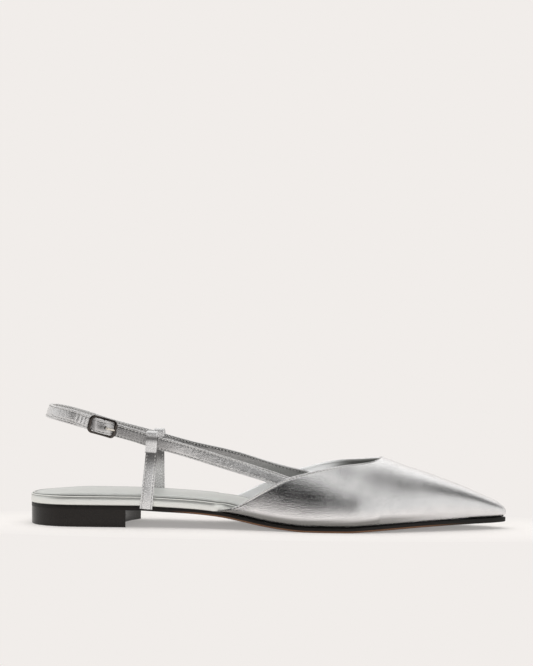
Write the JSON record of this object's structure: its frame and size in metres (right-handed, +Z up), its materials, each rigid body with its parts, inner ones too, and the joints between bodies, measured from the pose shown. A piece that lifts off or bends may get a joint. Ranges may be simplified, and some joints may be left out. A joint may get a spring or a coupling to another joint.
{
  "type": "sling back flat",
  "caption": "Pointed-toe sling back flat in silver leather: low black heel, buckled strap round the heel, a looped strap up each side.",
  "frame": {"origin": "on the floor, at the middle of the heel's underside", "axes": "+X from heel to toe, +Y to the inner side of the foot, +Z up from the floor"},
  "size_m": [0.2679, 0.0781, 0.0676],
  "materials": {
    "sole_leather": "satin",
    "heel_black": "satin",
    "upper_leather": "metallic",
    "insole_leather": "metallic",
    "sock_leather": "metallic",
    "strap_leather": "metallic",
    "buckle_metal": "polished",
    "prong_metal": "polished"
  },
  "bodies": {
    "root": {"outsole": "sole_leather", "heel": "heel_black", "upper": "upper_leather", "insole": "insole_leather", "sock": "sock_leather", "buckle_strap": "strap_leather", "sling_strap": "strap_leather", "side_strap_lateral": "strap_leather", "side_strap_medial": "strap_leather", "buckle_frame": "buckle_metal", "buckle_prong": "prong_metal"}
  },
  "joints": []
}
